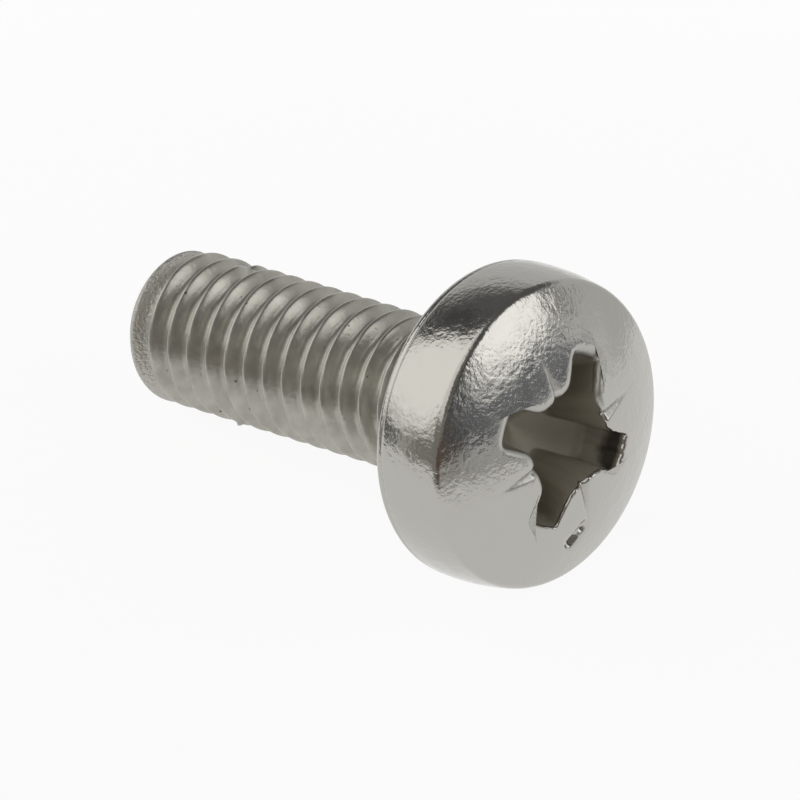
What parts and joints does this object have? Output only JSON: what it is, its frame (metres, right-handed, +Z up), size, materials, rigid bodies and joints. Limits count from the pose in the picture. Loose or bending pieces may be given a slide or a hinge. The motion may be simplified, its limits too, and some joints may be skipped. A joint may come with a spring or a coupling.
{
  "type": "machine screw",
  "caption": "Pan head machine screw with a cross recess of type Z, threaded up to the head, with a chamfered tip, lying on its side.",
  "frame": {"origin": "centre of the screw's footprint on the floor it lies on", "axes": "+Z up, +X along the lying screw from its tip to its head, +Y to the left of that; the screw's own axis leans up by 10.8 degrees from +X, because the head is wider than the thread"},
  "size_m": [0.0208, 0.012, 0.0121],
  "materials": {
    "plated_steel": "bright plated cold-headed steel, satin on the rolled thread"
  },
  "bodies": {
    "root": {"screw": "plated_steel"}
  },
  "joints": []
}
